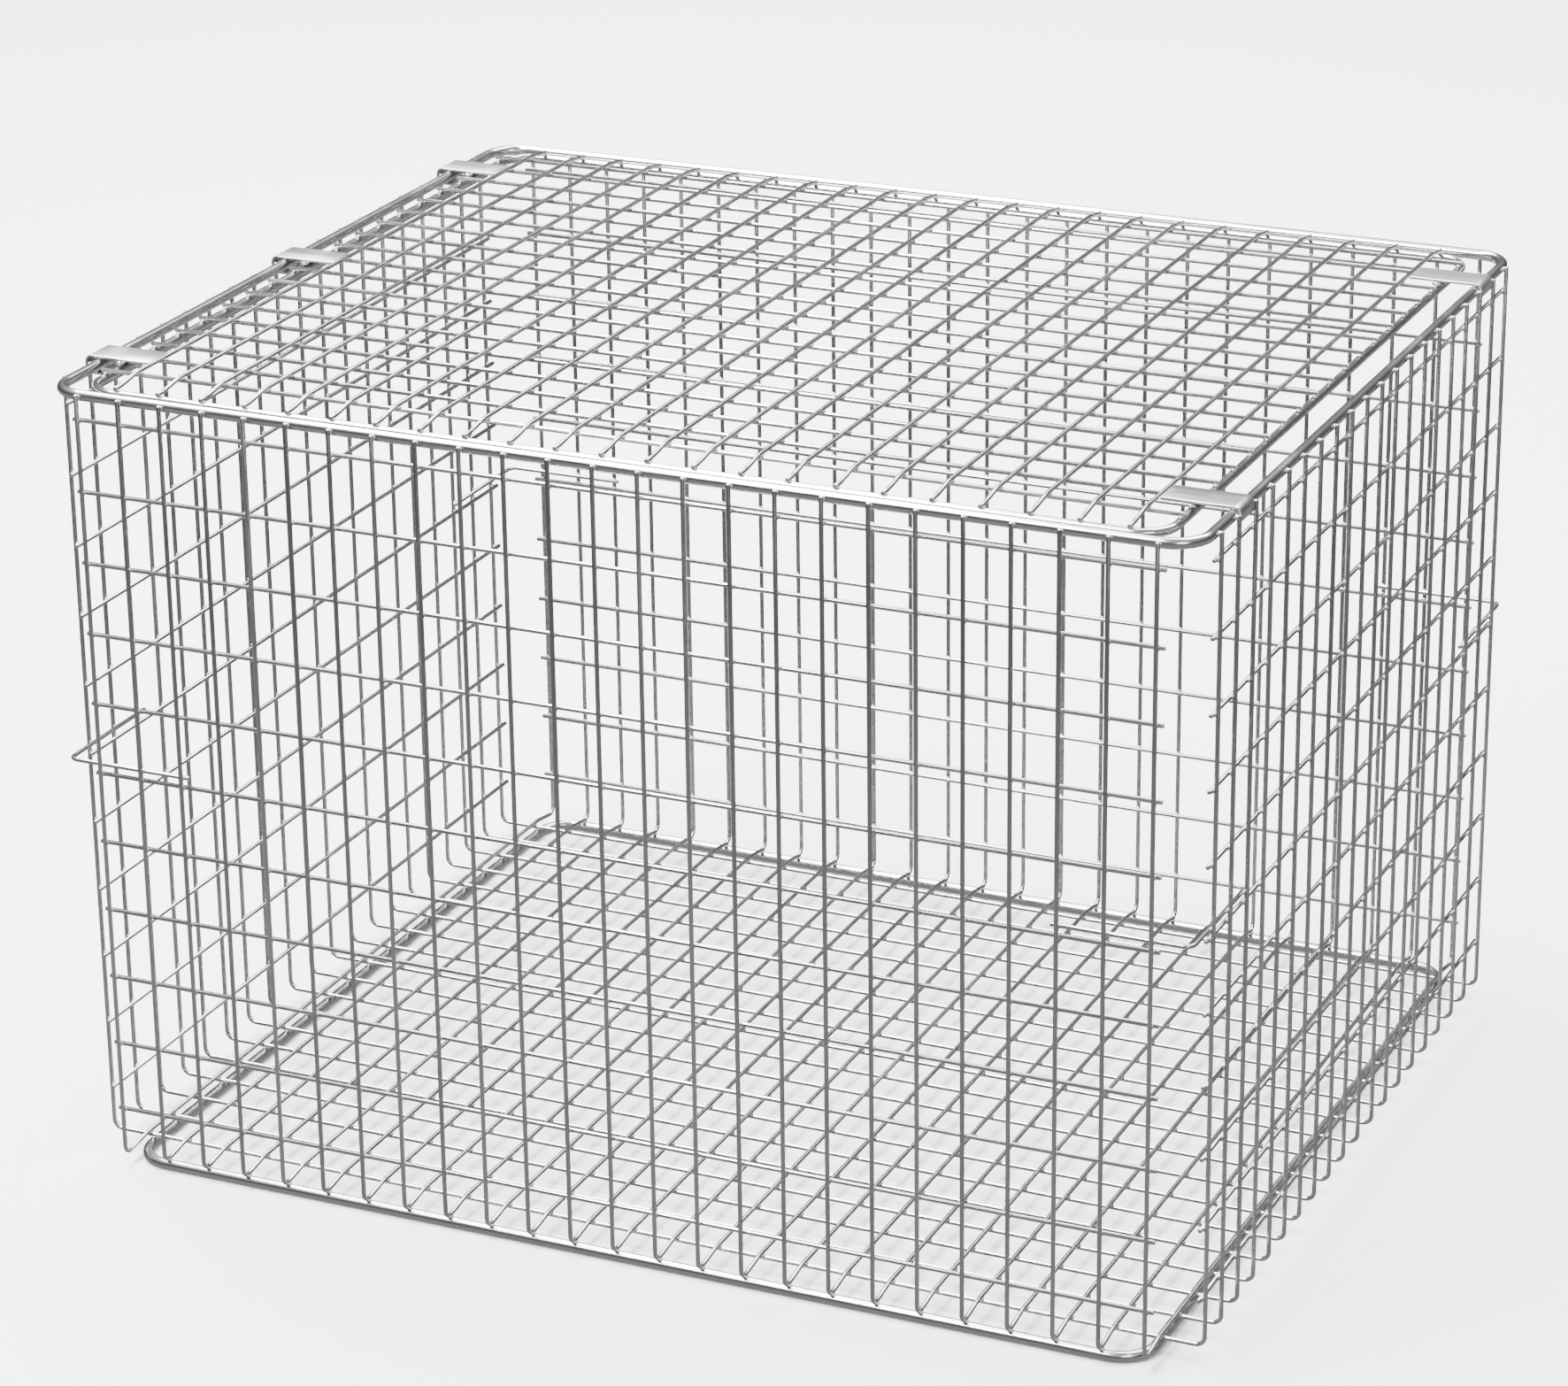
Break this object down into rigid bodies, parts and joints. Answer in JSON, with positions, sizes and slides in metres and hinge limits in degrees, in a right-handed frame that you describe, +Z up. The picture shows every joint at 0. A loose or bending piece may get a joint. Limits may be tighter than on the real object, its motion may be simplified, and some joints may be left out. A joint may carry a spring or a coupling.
{
  "type": "wire basket with hinged lid",
  "caption": "Large rectangular welded-wire basket with a flat hinged wire lid that clips to its rim, for holding loose utensils while they soak or wash.",
  "frame": {"origin": "centre of the footprint of the walls, on the surface that the base ring rests on", "axes": "+Z up; +X from the hinge side to the latch side, along the long side; +Y from the front wall to the back wall"},
  "size_m": [0.6517, 0.5304, 0.4526],
  "materials": {
    "mesh_wire": "electropolished drawn stainless wire, bright with soft reflections",
    "ring_wire": "electropolished stainless rod, bright with soft reflections",
    "strap_sheet": "bent stainless sheet strip with a fine lengthwise grain and bright edges",
    "weld_metal": "small bright electropolished weld bead"
  },
  "bodies": {
    "cage": {"top_rim": "ring_wire", "base_front": "ring_wire", "base_back": "ring_wire", "base_left": "ring_wire", "base_right": "ring_wire", "base_corners": "ring_wire", "cross_wires": "mesh_wire", "long_wires": "mesh_wire", "front_rows": "mesh_wire", "back_rows": "mesh_wire", "left_rows": "mesh_wire", "right_rows": "mesh_wire", "tie_front_left": "mesh_wire", "tie_front_right": "mesh_wire", "tie_back_left": "mesh_wire", "tie_back_right": "mesh_wire"},
    "lid": {"lid_frame": "ring_wire", "lid_cross_wires": "mesh_wire", "lid_long_wires": "mesh_wire", "hinge_strap_front": "strap_sheet", "hinge_strap_middle": "strap_sheet", "hinge_strap_rear": "strap_sheet", "latch_strap_front": "strap_sheet", "latch_strap_rear": "strap_sheet", "hinge_weld_beads": "weld_metal", "latch_weld_beads": "weld_metal"}
  },
  "joints": [
    {"name": "lid_hinge", "type": "hinge", "parent": "cage", "child": "lid", "pos_m": [-0.31873, 0, 0.447], "axis": [0, -1, 0], "range_deg": [0, 220]}
  ]
}
